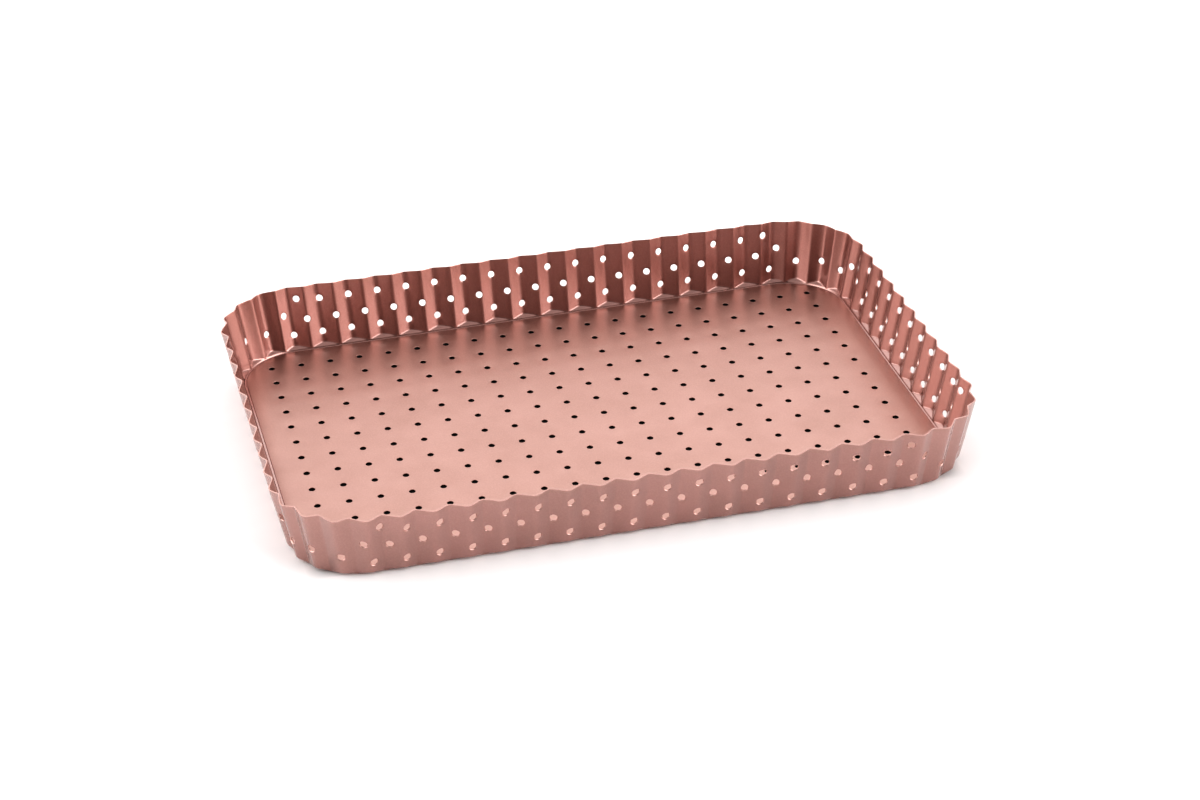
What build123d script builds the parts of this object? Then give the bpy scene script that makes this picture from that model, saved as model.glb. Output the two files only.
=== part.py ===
from build123d import *
import math
import os

# Loose-base tart pan: a fluted, perforated ring and a flat perforated base that lies
# on the ring's ledge and lifts out. Millimetres. The origin is the centre of the
# pan's footprint on the table, +X runs along the long side and +Z points up.

# Sheet metal
ring_sheet = 0.5
base_sheet = 0.6

# Plan: both outlines are rounded rectangles whose corner arcs share these centres
corner_centre_x = 117.7
corner_centre_y = 69.2

# Ring, measured on the inside along the narrow ridges between two flutes
rim_height = 31.2
rim_radius = 34.2
foot_height = 1.5
foot_radius = 28.7
bend_height = 0.8
bend_radius = 28.3
outer_bend_height = 0.4
outer_bend_radius = 28.75
ledge_outer_radius = 27.8
ledge_inner_radius = 21.5

# Flutes bulge outwards. They begin just above the foot and deepen towards the rim.
# Clockwise from above, each ridge stands this share of a flute after the hole by it.
flute_count = 70
flute_shift = 0.09
flute_start_height = 3.0
faint_flute_depth = 0.15
lower_flute_depth = 2.0
rim_flute_depth = 2.4
foot_flute_pitch = 13.9
rim_flute_pitch = 14.1

# Holes
hole_pitch = 13.85
wall_hole_diameter = 3.2
base_hole_diameter = 2.8
base_columns = 20
base_rows = 13

# Heights of the wall's three rows of holes
low_row_height = 7.6
middle_row_height = 15.4
high_row_height = 24.1

# The last hole of the high row, in pitches from the middle of a long and a short side
high_row_end_height = 25.4
long_side_last_pitch = 8.3
short_side_last_pitch = 4.8

# Holes of each corner, from the long side to the short one: angle from the long side
# in degrees, and height. The low row climbs round the corner.
corner_holes = (
    (7, 18.0),
    (24, 11.1),
    (47, 13.0),
    (68, 12.0),
    (84, 18.0),
)

# The loose base has this much less corner radius than the flat of the ledge
base_clearance = 0.6

# Worked out from the above
wall_slope = (rim_radius - foot_radius) / (rim_height - foot_height)
wall_tilt = math.degrees(math.atan(wall_slope))
flutes_per_quarter = flute_count / 4
hole_cutter_reach = 4.0

os.makedirs("parts", exist_ok=True)


def ridge_radius(height):
    """Inside corner radius of the plain wall, along its ridges, at a height."""
    return foot_radius + wall_slope * (height - foot_height)


def contour_point(flute, radius, pitch):
    """Point on the rounded rectangle of a corner radius, counted in flutes.

    Flute 0 is the middle of the back long side, and the count runs clockwise as
    seen from above. The straight sides keep their pitch, and the flutes left over
    share the corner evenly. The other three quarters mirror the first one.
    """
    half_turns = flutes_per_quarter * 2
    place = flute % flute_count
    side_x = 1 if place <= half_turns else -1
    place = min(place, flute_count - place)
    side_y = 1 if place <= flutes_per_quarter else -1
    place = min(place, half_turns - place)

    on_long_side = corner_centre_x / pitch
    on_short_side = corner_centre_y / pitch
    in_corner = flutes_per_quarter - on_long_side - on_short_side
    if place <= on_long_side:
        x = place * pitch
        y = corner_centre_y + radius
    elif place >= flutes_per_quarter - on_short_side:
        x = corner_centre_x + radius
        y = (flutes_per_quarter - place) * pitch
    else:
        turn = math.radians(90 * (1 - (place - on_long_side) / in_corner))
        x = corner_centre_x + radius * math.cos(turn)
        y = corner_centre_y + radius * math.sin(turn)
    return (side_x * x, side_y * y)


def fluted_section(height, radius, depth):
    """Level section through the ring: one arc for each flute, ridge to ridge."""
    rise = height / rim_height
    pitch = foot_flute_pitch + rise * (rim_flute_pitch - foot_flute_pitch)
    with BuildSketch(Plane.XY.offset(height)) as section:
        with BuildLine():
            for flute in range(flute_count):
                ridge = flute + flute_shift
                ThreePointArc(
                    contour_point(ridge, radius, pitch),
                    contour_point(ridge + 0.5, radius + depth, pitch),
                    contour_point(ridge + 1, radius, pitch),
                )
        make_face()
    return section.sketch


def rounded_rectangle(radius):
    """Rounded rectangle of a corner radius, about the shared corner centres."""
    return RectangleRounded(
        2 * (corner_centre_x + radius), 2 * (corner_centre_y + radius), radius
    )


def wall_hole_plane(centre, turn, height):
    """Plane for one wall hole, square to the leaning wall.

    The centre is the point that the wall's outward direction, at the angle turn,
    starts from: a corner's centre, or a point on the line between two of them.
    """
    reach = ridge_radius(height) + lower_flute_depth / 2
    outward = Vector(math.cos(math.radians(turn)), math.sin(math.radians(turn)), 0)
    lean = math.radians(wall_tilt)
    normal = outward * math.cos(lean) - Vector(0, 0, math.sin(lean))
    origin = Vector(centre[0], centre[1], height) + outward * reach
    return Plane(origin=origin, z_dir=normal)


def side_hole_planes(places, height):
    """Holes at these distances from the middle of a long side, on both long sides."""
    planes = []
    for place in places:
        for end in (1, -1):
            x = end * place
            planes.append(wall_hole_plane((x, corner_centre_y), 90, height))
            planes.append(wall_hole_plane((x, -corner_centre_y), -90, height))
    return planes


def end_hole_planes(places, height):
    """Holes at these distances from the middle of a short side, on both short sides."""
    planes = []
    for place in places:
        for end in (1, -1):
            y = end * place
            planes.append(wall_hole_plane((corner_centre_x, y), 0, height))
            planes.append(wall_hole_plane((-corner_centre_x, y), 180, height))
    return planes


def corner_hole_planes(turn_from_long_side, height):
    """One hole in each corner, at an angle counted from the long side."""
    planes = []
    for end in (1, -1):
        for side in (1, -1):
            centre = (end * corner_centre_x, side * corner_centre_y)
            turn = 90 - turn_from_long_side
            turn = turn if end == 1 else 180 - turn
            planes.append(wall_hole_plane(centre, side * turn, height))
    return planes


def pitches(first, last):
    """Distances of holes from a side's middle, from first to last, in hole pitches."""
    return [hole_pitch * (first + step) for step in range(round(last - first) + 1)]


# Rows of holes along the long sides. The outer holes sit at half pitches, so that
# each falls in the middle of a flute, and the middle row falls on the ridges.
hole_planes = side_hole_planes(pitches(0.5, 8.5), low_row_height)
hole_planes += side_hole_planes(pitches(1, 8), middle_row_height)
hole_planes += side_hole_planes(pitches(0.5, 7.5), high_row_height)
hole_planes += side_hole_planes(
    [long_side_last_pitch * hole_pitch], high_row_end_height
)

# The hole in the middle of each long side's middle row
hole_planes += [
    wall_hole_plane((0, corner_centre_y), 90, middle_row_height),
    wall_hole_plane((0, -corner_centre_y), -90, middle_row_height),
]

# Rows of holes along the short sides
hole_planes += end_hole_planes(pitches(1, 4), low_row_height)
hole_planes += end_hole_planes(pitches(0.5, 4.5), middle_row_height)
hole_planes += end_hole_planes(pitches(1, 4), high_row_height)
hole_planes += end_hole_planes([short_side_last_pitch * hole_pitch], high_row_end_height)
for row_height in (low_row_height, high_row_height):
    hole_planes += [
        wall_hole_plane((corner_centre_x, 0), 0, row_height),
        wall_hole_plane((-corner_centre_x, 0), 180, row_height),
    ]

# The low row carries on round the corners, and the middle row ends in them
for turn_from_long_side, hole_height in corner_holes:
    hole_planes += corner_hole_planes(turn_from_long_side, hole_height)


# Ring: fluted wall, tight bend and flat ledge, pressed from one sheet
with BuildPart() as fluted_ring:
    loft(
        [
            fluted_section(0, ledge_outer_radius, faint_flute_depth),
            fluted_section(outer_bend_height, outer_bend_radius, faint_flute_depth),
            fluted_section(foot_height, foot_radius + ring_sheet, faint_flute_depth),
            fluted_section(
                flute_start_height,
                ridge_radius(flute_start_height) + ring_sheet,
                lower_flute_depth,
            ),
            fluted_section(rim_height, rim_radius + ring_sheet, rim_flute_depth),
        ],
        ruled=True,
    )
    loft(
        [
            fluted_section(ring_sheet, ledge_outer_radius, faint_flute_depth),
            fluted_section(bend_height, bend_radius, faint_flute_depth),
            fluted_section(foot_height, foot_radius, faint_flute_depth),
            fluted_section(
                flute_start_height, ridge_radius(flute_start_height), lower_flute_depth
            ),
            fluted_section(rim_height, rim_radius, rim_flute_depth),
        ],
        ruled=True,
        mode=Mode.SUBTRACT,
    )
    with BuildSketch(Plane.XY):
        rounded_rectangle(ledge_inner_radius)
    extrude(amount=ring_sheet, mode=Mode.SUBTRACT)
    with BuildSketch(*hole_planes):
        Circle(wall_hole_diameter / 2)
    extrude(amount=hole_cutter_reach, both=True, mode=Mode.SUBTRACT)

fluted_ring.part.label = "fluted_ring"
export_step(fluted_ring.part, "parts/fluted_ring.step")


# Loose base: flat sheet on the ledge, pierced by a square grid of holes
with BuildPart() as loose_base:
    with BuildSketch(Plane.XY.offset(ring_sheet)):
        rounded_rectangle(ledge_outer_radius - base_clearance)
        with GridLocations(hole_pitch, hole_pitch, base_columns, base_rows):
            Circle(base_hole_diameter / 2, mode=Mode.SUBTRACT)
    extrude(amount=base_sheet)

loose_base.part.label = "loose_base"
export_step(loose_base.part, "parts/loose_base.step")
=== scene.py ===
import bpy
import math
import random
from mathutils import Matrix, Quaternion, Vector


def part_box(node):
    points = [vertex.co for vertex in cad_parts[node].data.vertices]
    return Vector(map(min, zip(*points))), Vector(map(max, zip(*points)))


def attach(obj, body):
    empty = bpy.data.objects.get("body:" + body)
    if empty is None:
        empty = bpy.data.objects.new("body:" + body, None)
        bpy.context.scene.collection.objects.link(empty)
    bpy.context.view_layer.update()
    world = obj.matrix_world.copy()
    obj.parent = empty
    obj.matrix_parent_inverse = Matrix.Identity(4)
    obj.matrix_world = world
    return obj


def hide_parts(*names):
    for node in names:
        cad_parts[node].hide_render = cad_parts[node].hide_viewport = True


# Loose-base tart pan in a rose-gold coating: a fluted, perforated ring and a flat
# perforated base that lies on the ring's ledge. Blender's unit is the metre.

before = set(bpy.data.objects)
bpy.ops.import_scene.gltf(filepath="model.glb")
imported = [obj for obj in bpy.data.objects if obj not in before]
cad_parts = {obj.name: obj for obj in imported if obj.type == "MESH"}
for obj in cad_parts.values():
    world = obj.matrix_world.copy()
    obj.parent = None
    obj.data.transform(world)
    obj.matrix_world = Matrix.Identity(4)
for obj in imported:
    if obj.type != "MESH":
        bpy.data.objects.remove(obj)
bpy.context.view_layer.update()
_, ring_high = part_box("fluted_ring")
base_low, base_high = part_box("loose_base")
mm = 0.001

# Ring, measured on its inside along the narrow ridges between two flutes
ring_sheet = 0.5 * mm
rim_height = ring_high.z
rim_flute_depth = 2.4 * mm
base_corner_radius = 27.2 * mm
corner_x = base_high.x - base_corner_radius
corner_y = base_high.y - base_corner_radius
rim_radius = ring_high.x - corner_x - ring_sheet - rim_flute_depth
foot_height = 1.5 * mm
foot_radius = base_corner_radius + 1.5 * mm
ledge_width = 6.4 * mm
bend_radius = 0.7 * mm
bend_height = ring_sheet + bend_radius
wall_slope = (rim_radius - foot_radius) / (rim_height - foot_height)
wall_lean = math.atan(wall_slope)

# Flutes: each bulges outwards from a narrow ridge, and ends at the foot in a sloping pad
flute_count = 70
flutes_per_quarter = flute_count / 4
foot_flute_pitch = 13.9 * mm
rim_flute_pitch = 14.1 * mm
lower_flute_depth = 2.0 * mm
flute_shift = 0.09
crest_place = 0.45
crest_softness = 0.4
ridge_softness = 0.12
pad_start_height = 1.2 * mm
pad_slope = 2.0
pad_crease = 0.6 * mm
rim_scallop = 0.7 * mm
flute_unevenness = 0.05
wobble = random.Random(7)
flute_strength = [
    1 + wobble.uniform(-1, 1) * flute_unevenness for _ in range(flute_count)
]

# Heights of the wall's rows of holes, the high row's last hole on each side, and the
# holes of a corner, each at an angle from the long side and a height
low_row, middle_row, high_row = 7.6 * mm, 15.4 * mm, 24.1 * mm
high_row_end = 25.4 * mm
long_side_last_pitch = 8.3
short_side_last_pitch = 4.8
corner_holes = ((7, 18 * mm), (24, 11.1 * mm), (47, 13 * mm), (68, 12 * mm), (84, 18 * mm))

# Holes: their size and spacing. The sheet dips round each of them: a ring of the mesh
# lies at each reach, in hole radii, with a share of the lip's dip and a share of painted
# highlight, a paler tone that stands in for light caught on the hole's rim.
wall_hole_radius = 1.6 * mm
base_hole_radius = 1.4 * mm
hole_pitch = 13.85 * mm
base_columns = 20
base_rows = 13
hole_margin = 0.7 * mm
lip_rings = (
    (1.3, 0.0, 0.0),
    (1.12, 0.25, 0.35),
    (1.0, 1.0, 1.0),
)
wall_lip = 0.16 * mm
base_lip = 0.1 * mm

# Mesh density
columns_per_flute = 16
ridge_crowding = 0.5
ledge_steps = 4
bend_steps = 5
foot_steps = 12
foot_top = 4.3 * mm
wall_steps = 31
rim_band = 0.35 * mm
cell_steps = 6
edge_bevel = 0.07 * mm
edge_angle = 50
base_corner_inset = 3.2 * mm

# Coating of each piece: a deeper and a paler tone that drift into each other, the
# roughness of its satin and of its glossier flakes, and its lacquer's share and roughness
ring_tones = ((0.37, 0.185, 0.155), (0.41, 0.205, 0.175))
ring_roughness = (0.5, 0.2)
ring_lacquer = (1.0, 0.17)
base_tones = ((0.415, 0.23, 0.19), (0.45, 0.255, 0.215))
base_roughness = (0.48, 0.4)
base_lacquer = (0.5, 0.35)

# Both coatings: their share of metal, the rest a plain pigment, the lacquer's refractive
# index, the paler tone of the painted highlight on edges and hole rims, and its greatest
# share
metal_share = 0.95
lacquer_index = 1.8
highlight_tone = (0.8, 0.5, 0.42)
most_highlight = 0.25

# Detail in both coatings: the size of each kind, and how strong it is. The flakes' tone
# is the paler one times flake_gain, plus flake_lift.
cloud_size = 30 * mm
flake_size = 0.6 * mm
flake_gain = 1.35
flake_lift = 0.03
flake_share = 0.2
flake_relief = 0.02 * mm
smudge_size = 12 * mm
smudge_roughness = 0.03
dent_size = 7 * mm
dent_relief = 0.05 * mm

# Studio: a soft white sky with a large light on the left, the right and at the back,
# and a dark room in front. Each patch has an azimuth, an elevation, a core and a rim in
# degrees, a strength and a tallness.
sky_level = 0.6
sky_patches = (
    (6, 12, 12, 42, -0.95, 1.6),
    (-92, 20, 16, 46, 2.0, 1.0),
    (58, 9, 14, 42, 2.7, 1.5),
    (172, 33, 20, 52, 0.75, 1.0),
)
least_sky = 0.02

# Floor: white, with a painted shadow under the pan that fades over an edge
floor_half = 4.0
floor_white = (0.9, 0.9, 0.9)
painted_floor_shadow = (0.03, 0.03, 0.03)
painted_floor_shadow_edge = 12 * mm

# Camera: what it looks at, and its place round that, in degrees and metres
camera_target = Vector((0.0018, -0.0131, rim_height / 2))
camera_azimuth = -14.3
camera_elevation = 30.1
camera_roll = -1.16
camera_distance = 1.224
camera_lens = 82.4
camera_sensor = 36


def mix(low, high, share):
    return low + (high - low) * share


# ---------------------------------------------------------------- ring surface


def ridge_radius(height):
    """Inside corner radius of the plain wall, along its ridges, at a height."""
    return foot_radius + wall_slope * (height - foot_height)


def flute_pitch(height):
    return mix(foot_flute_pitch, rim_flute_pitch, height / rim_height)


def contour_point(flute, radius, pitch):
    """Point on the rounded rectangle of a corner radius, counted in flutes.

    Flute 0 is the middle of the back long side, and the count runs clockwise as
    seen from above. The other three quarters mirror the first one.
    """
    half_turns = flutes_per_quarter * 2
    place = flute % flute_count
    side_x = 1 if place <= half_turns else -1
    place = min(place, flute_count - place)
    side_y = 1 if place <= flutes_per_quarter else -1
    place = min(place, half_turns - place)
    on_long_side = corner_x / pitch
    on_short_side = corner_y / pitch
    in_corner = flutes_per_quarter - on_long_side - on_short_side
    if place <= on_long_side:
        x = place * pitch
        y = corner_y + radius
    elif place >= flutes_per_quarter - on_short_side:
        x = corner_x + radius
        y = (flutes_per_quarter - place) * pitch
    else:
        turn = math.radians(90 * (1 - (place - on_long_side) / in_corner))
        x = corner_x + radius * math.cos(turn)
        y = corner_y + radius * math.sin(turn)
    return (side_x * x, side_y * y)


def soft_minimum(first, second, blend):
    """The smaller of two values, rounded off where they differ by less than blend."""
    overlap = max(blend - abs(first - second), 0) / blend
    return min(first, second) - overlap * overlap * blend / 4


def lobe(flute):
    """0 on a ridge and 1 on a flute's crest: a short flank, then a long one."""
    across = (flute - flute_shift) % 1
    short_flank = across / crest_place
    long_flank = (1 - across) / (1 - crest_place)
    flanks = soft_minimum(short_flank, long_flank, crest_softness)
    rise = flanks / (1 - crest_softness / 4)
    full = math.hypot(1, ridge_softness) - ridge_softness
    return (math.hypot(rise, ridge_softness) - ridge_softness) / full


def flute_depth(flute, height):
    """How far the wall stands out beyond its ridge line."""
    if height <= pad_start_height:
        return 0.0
    deepest = mix(lower_flute_depth, rim_flute_depth, height / rim_height)
    strength = flute_strength[int((flute - flute_shift) % flute_count)]
    wall = deepest * lobe(flute) * strength
    pad = pad_slope * (height - pad_start_height)
    return max(soft_minimum(wall, pad, pad_crease), 0.0)


def ring_point(flute, radius, height, lip=0.0):
    """Point on the ring's inside surface, moved outwards by the dip of a hole's lip."""
    out = radius + flute_depth(flute, height) + lip
    x, y = contour_point(flute, out, flute_pitch(height))
    climb = max(height - foot_height, 0) / (rim_height - foot_height)
    return Vector((x, y, height - climb * rim_scallop * lobe(flute)))


# --------------------------------------------------------------- hole pattern


def pitches(first, last):
    """Distances from a side's middle, from first to last, in hole pitches."""
    return [hole_pitch * (first + step) for step in range(round(last - first) + 1)]


def long_side(distance, height):
    """Flute number and height of a hole on a long side."""
    return (distance / flute_pitch(height), height)


def short_side(distance, height):
    """Flute number and height of a hole on a short side."""
    return (flutes_per_quarter - distance / flute_pitch(height), height)


def corner(degrees, height):
    """Flute number and height of a hole in a corner."""
    pitch = flute_pitch(height)
    on_long_side = corner_x / pitch
    in_corner = flutes_per_quarter - on_long_side - corner_y / pitch
    return (on_long_side + in_corner * degrees / 90, height)


def wall_holes():
    """Flute number and height of every hole in the wall: one quarter, mirrored."""
    quarter = [long_side(place, low_row) for place in pitches(0.5, 8.5)]
    quarter += [long_side(place, middle_row) for place in pitches(0, 8)]
    quarter += [long_side(place, high_row) for place in pitches(0.5, 7.5)]
    quarter += [short_side(place, low_row) for place in pitches(0, 4)]
    quarter += [short_side(place, middle_row) for place in pitches(0.5, 4.5)]
    quarter += [short_side(place, high_row) for place in pitches(0, 4)]
    quarter += [long_side(long_side_last_pitch * hole_pitch, high_row_end)]
    quarter += [short_side(short_side_last_pitch * hole_pitch, high_row_end)]
    quarter += [corner(degrees, height) for degrees, height in corner_holes]
    holes = set()
    half_turns = 2 * flutes_per_quarter
    for flute, height in quarter:
        for place in (flute, -flute, half_turns - flute, half_turns + flute):
            holes.add((round(place % flute_count, 6), height))
    return sorted(holes)


# -------------------------------------------------------------------- meshes


def pierce(points, edges, faces, border, offsets, place, radius, lip):
    """Closes the gap between a border of vertices and a round hole with rings of faces.

    The offsets are the border's, in the sheet, from the hole's centre, and place
    turns such an offset and a lip depth into a point. The sheet dips at the hole.
    """
    outer = border
    for reach, dip, highlight in lip_rings:
        ring = []
        for across, up in offsets:
            scale = reach * radius / math.hypot(across, up)
            ring.append(len(points))
            points.append(place(across * scale, up * scale, dip * lip))
            # share of painted highlight on this ring of the lip
            edges.append(highlight)
        for step in range(len(border)):
            ahead = (step + 1) % len(border)
            faces.append((outer[step], outer[ahead], ring[ahead], ring[step]))
        outer = ring


def rectangle_loop(left, right, bottom, top):
    """Grid places round a rectangle, counter-clockwise in (column, row)."""
    loop = [(column, bottom) for column in range(left, right)]
    loop += [(right, row) for row in range(bottom, top)]
    loop += [(column, top) for column in range(right, left, -1)]
    loop += [(left, row) for row in range(top, bottom, -1)]
    return loop


def finish_mesh(name, points, edges, faces, sheet):
    """Mesh object from points and faces, thickened to a sheet with eased edges."""
    mesh = bpy.data.meshes.new(name)
    mesh.from_pydata([tuple(point) for point in points], [], faces)
    mesh.validate()
    # Share of painted highlight per point: a paler tone on the sheet's edges and hole rims
    highlight = mesh.attributes.new("edge_highlight", "FLOAT", "POINT")
    highlight.data.foreach_set("value", edges)
    mesh.shade_smooth()
    piece = bpy.data.objects.new(name, mesh)
    bpy.context.collection.objects.link(piece)
    thick = piece.modifiers.new("sheet", "SOLIDIFY")
    thick.thickness = sheet
    thick.offset = -1
    thick.use_even_offset = True
    bevel = piece.modifiers.new("eased_edges", "BEVEL")
    bevel.width = edge_bevel
    bevel.segments = 2
    bevel.limit_method = "ANGLE"
    bevel.angle_limit = math.radians(edge_angle)
    return piece


def ring_rows():
    """Radius and height of each mesh row at a ridge, from the ledge's edge to the rim."""
    bend_centre = ridge_radius(bend_height - bend_radius * math.sin(wall_lean))
    bend_centre -= bend_radius * math.cos(wall_lean)
    ledge_edge = bend_centre - ledge_width
    rows = []
    for step in range(ledge_steps):
        rows.append((mix(ledge_edge, bend_centre, step / ledge_steps), ring_sheet))
    for step in range(bend_steps):
        turn = mix(-math.pi / 2, -wall_lean, step / bend_steps)
        radius = bend_centre + bend_radius * math.cos(turn)
        rows.append((radius, bend_height + bend_radius * math.sin(turn)))
    foot = bend_height - bend_radius * math.sin(wall_lean)
    heights = [mix(foot, foot_top, step / foot_steps) for step in range(foot_steps)]
    band = rim_height - rim_band
    heights += [mix(foot_top, band, step / wall_steps) for step in range(wall_steps + 1)]
    heights.append(rim_height)
    rows += [(ridge_radius(height), height) for height in heights]
    return rows


def column_flute(column):
    """Flute number of a mesh column. Columns crowd together at the ridges."""
    turn = 2 * math.pi * column / columns_per_flute
    crowd = ridge_crowding * math.sin(turn) / (2 * math.pi)
    return column / columns_per_flute - crowd + flute_shift


def make_ring():
    """Fluted ring: a grid of rows and columns, opened round each hole and closed up to it."""
    rows = ring_rows()
    heights = [height for _, height in rows]
    columns = flute_count * columns_per_flute
    points, edges, faces = [], [], []
    opened, inside, borders = set(), set(), []

    for flute, height in wall_holes():
        radius = ridge_radius(height)
        half = wall_hole_radius / flute_pitch(height)
        centre = ring_point(flute, radius, height)
        width = (ring_point(flute + half, radius, height) - centre).length
        width += (ring_point(flute - half, radius, height) - centre).length
        per_flute = width / (2 * half)
        clear = wall_hole_radius + hole_margin
        left = right = round((flute - flute_shift) * columns_per_flute)
        while (column_flute(left) - flute) * per_flute > -clear:
            left -= 1
        while (column_flute(right) - flute) * per_flute < clear:
            right += 1
        bottom = max(row for row in range(len(rows)) if heights[row] < height - clear)
        top = min(row for row in range(len(rows)) if heights[row] > height + clear)
        for column in range(left, right):
            opened.update((column % columns, row) for row in range(bottom, top))
        for column in range(left + 1, right):
            inside.update((column % columns, row) for row in range(bottom + 1, top))
        borders.append((flute, height, per_flute, rectangle_loop(left, right, bottom, top)))

    number = {}
    for row, (radius, height) in enumerate(rows):
        for column in range(columns):
            if (column, row) in inside:
                continue
            number[column, row] = len(points)
            points.append(ring_point(column_flute(column), radius, height))
            # The ledge's edge and the rim get the full painted highlight
            edges.append(1.0 if row in (0, len(rows) - 1) else 0.0)
    for row in range(len(rows) - 1):
        for column in range(columns):
            if (column, row) in opened:
                continue
            ahead = (column + 1) % columns
            lower = (number[column, row], number[ahead, row])
            faces.append((*lower, number[ahead, row + 1], number[column, row + 1]))

    for flute, height, per_flute, loop in borders:
        def place(across, up, lip):
            at = height + up * math.cos(wall_lean)
            return ring_point(flute + across / per_flute, ridge_radius(at), at, lip)

        offsets = []
        for column, row in loop:
            up = (heights[row] - height) / math.cos(wall_lean)
            offsets.append(((column_flute(column) - flute) * per_flute, up))
        border = [number[column % columns, row] for column, row in loop]
        pierce(points, edges, faces, border, offsets, place, wall_hole_radius, wall_lip)
    return finish_mesh("ring_sheet", points, edges, faces, ring_sheet)


def past_corner(x, y):
    """How far a point of the base lies beyond the nearest corner's centre, each way."""
    return Vector((max(abs(x) - corner_x, 0), max(abs(y) - corner_y, 0)))


def make_base():
    """Flat sheet: a square cell round each hole, and a strip out to the rounded outline."""
    top = base_high.z
    across, along = base_columns * cell_steps, base_rows * cell_steps
    step = hole_pitch / cell_steps
    corner_keep = base_corner_radius - base_corner_inset
    points, edges, faces, number = [], [], [], {}
    for row in range(along + 1):
        for column in range(across + 1):
            if column % cell_steps and row % cell_steps:
                continue
            x, y = (column - across / 2) * step, (row - along / 2) * step
            past = past_corner(x, y)
            if past.x and past.y and past.length > corner_keep:
                past = past * corner_keep / past.length
                x = math.copysign(corner_x + past.x, x)
                y = math.copysign(corner_y + past.y, y)
            number[column, row] = len(points)
            points.append(Vector((x, y, top)))
            edges.append(0.0)

    for cell_row in range(base_rows):
        for cell_column in range(base_columns):
            left, bottom = cell_column * cell_steps, cell_row * cell_steps
            loop = rectangle_loop(left, left + cell_steps, bottom, bottom + cell_steps)
            centre_x = (cell_column + 0.5 - base_columns / 2) * hole_pitch
            centre_y = (cell_row + 0.5 - base_rows / 2) * hole_pitch
            centre = Vector((centre_x, centre_y, top))
            border = [number[place] for place in loop]
            offsets = [(points[index] - centre).to_2d() for index in border]

            def place(right, back, lip):
                return centre + Vector((right, back, -lip))

            pierce(points, edges, faces, border, offsets, place, base_hole_radius, base_lip)

    loop = [number[place] for place in rectangle_loop(0, across, 0, along)]
    outline = []
    for index in loop:
        x, y, _ = points[index]
        past = past_corner(x, y).normalized() * base_corner_radius
        on_x = math.copysign(corner_x + past.x, x) if past.x else x
        on_y = math.copysign(corner_y + past.y, y) if past.y else y
        outline.append(len(points))
        points.append(Vector((on_x, on_y, top)))
        edges.append(0.0)
    for place in range(len(loop)):
        ahead = (place + 1) % len(loop)
        faces.append((loop[place], outline[place], outline[ahead], loop[ahead]))
    return finish_mesh("base_sheet", points, edges, faces, base_high.z - base_low.z)


# ------------------------------------------------------------------ materials


def node(tree, kind, **settings):
    """New node with its inputs, or else its properties, set by name."""
    made = tree.nodes.new(kind)
    for name, value in settings.items():
        if name in made.inputs:
            made.inputs[name].default_value = value
        else:
            setattr(made, name, value)
    return made


def noise(tree, place, size, detail=2.0):
    """Noise whose features are about this many metres across."""
    made = node(tree, "ShaderNodeTexNoise", Scale=1 / size, Detail=detail)
    tree.links.new(place, made.inputs["Vector"])
    return made.outputs["Fac"]


def remap(tree, value, low, high, out_low, out_high):
    """Moves a value from the range low to high to another range, and keeps it in there."""
    made = node(tree, "ShaderNodeMapRange")
    made.inputs["From Min"].default_value = low
    made.inputs["From Max"].default_value = high
    made.inputs["To Min"].default_value = out_low
    made.inputs["To Max"].default_value = out_high
    tree.links.new(value, made.inputs["Value"])
    return made.outputs["Result"]


def blend_colours(tree, share, first, second):
    made = tree.nodes.new("ShaderNodeMix")
    made.data_type = "RGBA"
    tree.links.new(share, made.inputs["Factor"])
    for colour, socket in ((first, made.inputs[6]), (second, made.inputs[7])):
        if isinstance(colour, tuple):
            socket.default_value = (*colour, 1)
        else:
            tree.links.new(colour, socket)
    return made.outputs[2]


def add_values(tree, first, second):
    made = node(tree, "ShaderNodeMath", operation="ADD")
    tree.links.new(first, made.inputs[0])
    tree.links.new(second, made.inputs[1])
    return made.outputs[0]


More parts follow.
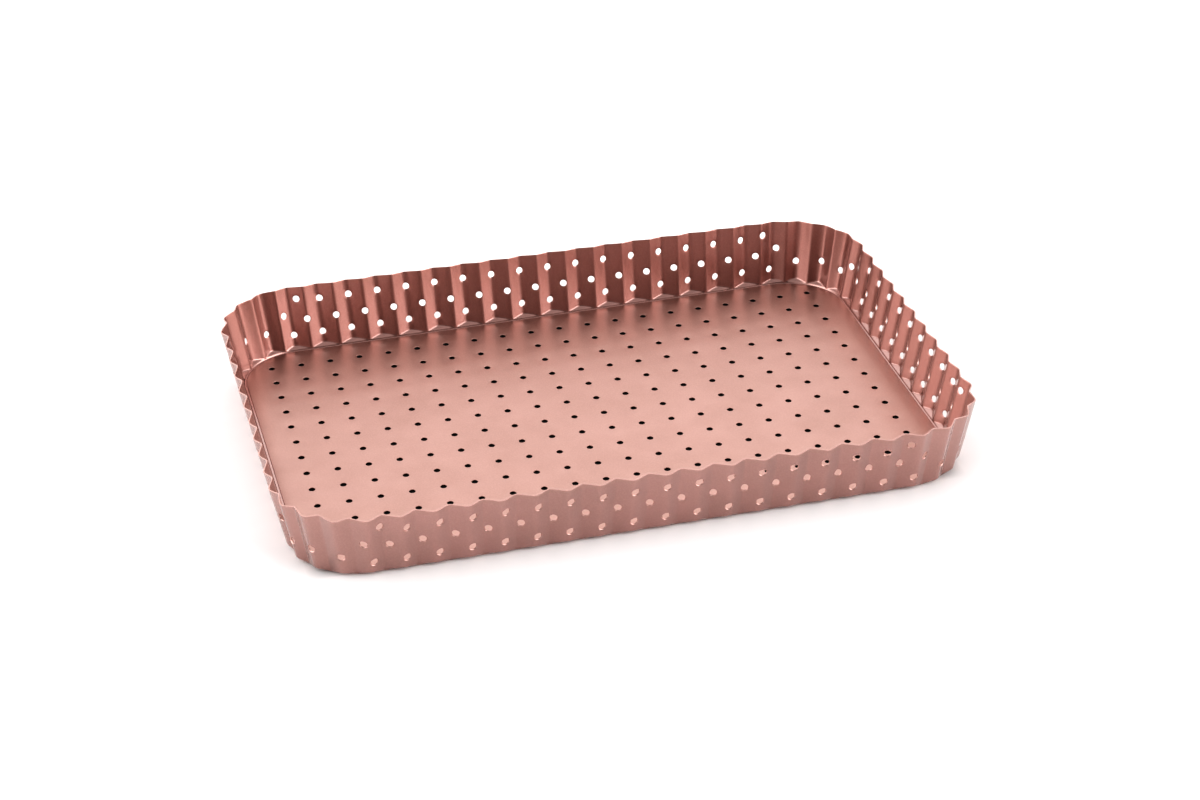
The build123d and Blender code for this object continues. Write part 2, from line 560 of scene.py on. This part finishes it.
def coating(name, tones, roughness, lacquer):
    """Rose-gold coating: satin and glossier flakes, half each, under a clear lacquer.

    Painted highlight: its tone turns paler where the mesh's per-point highlight share is
    high, on edges and hole rims.
    """
    material = bpy.data.materials.new(name)
    material.use_nodes = True
    tree = material.node_tree
    place = tree.nodes.new("ShaderNodeTexCoord").outputs["Object"]
    highlight = node(tree, "ShaderNodeAttribute", attribute_name="edge_highlight").outputs["Fac"]

    clouds = remap(tree, noise(tree, place, cloud_size, 3), 0.35, 0.65, 0, 1)
    flakes = remap(tree, noise(tree, place, flake_size, 1), 0.4, 0.72, 0, 1)
    colour = blend_colours(tree, clouds, *tones)
    flake_tone = tuple(value * flake_gain + flake_lift for value in tones[1])
    speckle = remap(tree, flakes, 0, 1, 0, flake_share)
    colour = blend_colours(tree, speckle, colour, flake_tone)
    # Painted highlight: a paler tone on edges and hole rims
    highlight_share = remap(tree, highlight, 0.3, 1, 0, most_highlight)
    colour = blend_colours(tree, highlight_share, colour, highlight_tone)
    smudges = noise(tree, place, smudge_size, 4)
    smudges = remap(tree, smudges, 0.3, 0.7, -smudge_roughness, smudge_roughness)

    bump = node(tree, "ShaderNodeBump", Strength=0.35, Distance=flake_relief)
    tree.links.new(flakes, bump.inputs["Height"])
    dents = node(tree, "ShaderNodeBump", Strength=0.5, Distance=dent_relief)
    tree.links.new(noise(tree, place, dent_size, 2), dents.inputs["Height"])
    tree.links.new(bump.outputs["Normal"], dents.inputs["Normal"])

    both = tree.nodes.new("ShaderNodeMixShader")
    both.inputs[0].default_value = 0.5
    shaders = (tree.nodes["Principled BSDF"], tree.nodes.new("ShaderNodeBsdfPrincipled"))
    for layer, shader in enumerate(shaders):
        level = node(tree, "ShaderNodeMath", operation="ADD")
        level.inputs[1].default_value = roughness[layer]
        tree.links.new(smudges, level.inputs[0])
        tree.links.new(level.outputs[0], shader.inputs["Roughness"])
        tree.links.new(colour, shader.inputs["Base Color"])
        tree.links.new(dents.outputs["Normal"], shader.inputs["Normal"])
        shader.inputs["Metallic"].default_value = metal_share
        shader.inputs["Coat Weight"].default_value = lacquer[0]
        shader.inputs["Coat Roughness"].default_value = lacquer[1]
        shader.inputs["Coat IOR"].default_value = lacquer_index
        tree.links.new(shader.outputs[0], both.inputs[layer + 1])
    tree.links.new(both.outputs[0], tree.nodes["Material Output"].inputs["Surface"])
    return material


def painted_shadow_along(tree, along, half):
    """Share of the painted shadow along an axis: 1 well inside the base's half length, fading
    to 0 at its edge.
    """
    away = node(tree, "ShaderNodeMath", operation="ABSOLUTE")
    tree.links.new(along, away.inputs[0])
    return remap(tree, away.outputs[0], half, half - painted_floor_shadow_edge, 0, 1)


def stage_material():
    """Matt white floor with a painted shadow under the pan, so that the base's holes look
    dark.
    """
    material = bpy.data.materials.new("stage_white")
    material.use_nodes = True
    tree = material.node_tree
    shader = tree.nodes["Principled BSDF"]
    place = tree.nodes.new("ShaderNodeTexCoord").outputs["Object"]
    sides = node(tree, "ShaderNodeSeparateXYZ")
    tree.links.new(place, sides.inputs[0])
    # Painted shadow under the pan: the shares along both axes multiplied, blending the white
    # floor to dark
    under = node(tree, "ShaderNodeMath", operation="MULTIPLY")
    tree.links.new(painted_shadow_along(tree, sides.outputs["X"], base_high.x), under.inputs[0])
    tree.links.new(painted_shadow_along(tree, sides.outputs["Y"], base_high.y), under.inputs[1])
    colour = blend_colours(tree, under.outputs[0], floor_white, painted_floor_shadow)
    tree.links.new(colour, shader.inputs["Base Color"])
    shader.inputs["Roughness"].default_value = 0.9
    shader.inputs["Specular IOR Level"].default_value = 0.1
    return material


# ---------------------------------------------------------------------- stage


def make_floor():
    mesh = bpy.data.meshes.new("floor")
    signs = ((-1, -1), (1, -1), (1, 1), (-1, 1))
    corners = [(x * floor_half, y * floor_half, 0) for x, y in signs]
    mesh.from_pydata(corners, [], [(0, 1, 2, 3)])
    floor = bpy.data.objects.new("floor", mesh)
    bpy.context.collection.objects.link(floor)
    mesh.materials.append(stage_material())


def facing(azimuth, elevation):
    """Direction from the pan to an azimuth (0 is the front, 90 the right) and elevation."""
    turn, climb = math.radians(azimuth), math.radians(elevation)
    level = math.cos(climb)
    return Vector((math.sin(turn) * level, -math.cos(turn) * level, math.sin(climb)))


def sky_patch(tree, azimuth, elevation, core, rim, strength, tallness):
    """A soft oval patch of the sky: full within core degrees, nothing beyond rim degrees."""
    place = tree.nodes.new("ShaderNodeTexCoord").outputs["Generated"]
    flat = node(tree, "ShaderNodeVectorMath", operation="MULTIPLY")
    tree.links.new(place, flat.inputs[0])
    flat.inputs[1].default_value = (1, 1, 1 / tallness)
    unit = node(tree, "ShaderNodeVectorMath", operation="NORMALIZE")
    tree.links.new(flat.outputs[0], unit.inputs[0])
    dot = node(tree, "ShaderNodeVectorMath", operation="DOT_PRODUCT")
    tree.links.new(unit.outputs[0], dot.inputs[0])
    dot.inputs[1].default_value = facing(azimuth, elevation)
    spread = node(tree, "ShaderNodeMapRange", interpolation_type="SMOOTHSTEP")
    spread.inputs["From Min"].default_value = math.cos(math.radians(rim))
    spread.inputs["From Max"].default_value = math.cos(math.radians(core))
    spread.inputs["To Max"].default_value = strength
    tree.links.new(dot.outputs["Value"], spread.inputs["Value"])
    return spread.outputs["Result"]


def make_lights():
    """Sky alone: its even level with every patch added, nowhere darker than the least."""
    world = bpy.data.worlds.new("studio")
    bpy.context.scene.world = world
    world.use_nodes = True
    tree = world.node_tree
    background = tree.nodes["Background"]
    background.inputs["Color"].default_value = (1, 1, 1, 1)
    total = node(tree, "ShaderNodeValue").outputs[0]
    total.default_value = sky_level
    for patch in sky_patches:
        total = add_values(tree, total, sky_patch(tree, *patch))
    lit = node(tree, "ShaderNodeMath", operation="MAXIMUM")
    lit.inputs[1].default_value = least_sky
    tree.links.new(total, lit.inputs[0])
    tree.links.new(lit.outputs[0], background.inputs["Strength"])


def make_camera():
    data = bpy.data.cameras.new("camera")
    data.lens = camera_lens
    data.sensor_width = camera_sensor
    data.clip_end = 20
    camera = bpy.data.objects.new("camera", data)
    bpy.context.collection.objects.link(camera)
    back = facing(camera_azimuth, camera_elevation)
    camera.location = camera_target + back * camera_distance
    camera.rotation_mode = "QUATERNION"
    level = (-back).to_track_quat("-Z", "Y")
    roll = Quaternion((0, 0, 1), math.radians(camera_roll))
    camera.rotation_quaternion = level @ roll
    bpy.context.scene.camera = camera


ring = make_ring()
ring_material = coating("ring_rose_gold", ring_tones, ring_roughness, ring_lacquer)
ring.data.materials.append(ring_material)
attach(ring, "ring")
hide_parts("fluted_ring")

base = make_base()
base_material = coating("base_rose_gold", base_tones, base_roughness, base_lacquer)
base.data.materials.append(base_material)
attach(base, "base")
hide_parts("loose_base")

make_floor()
make_lights()
make_camera()
bpy.context.scene.view_settings.view_transform = "Standard"
bpy.context.scene.view_settings.look = "High Contrast"
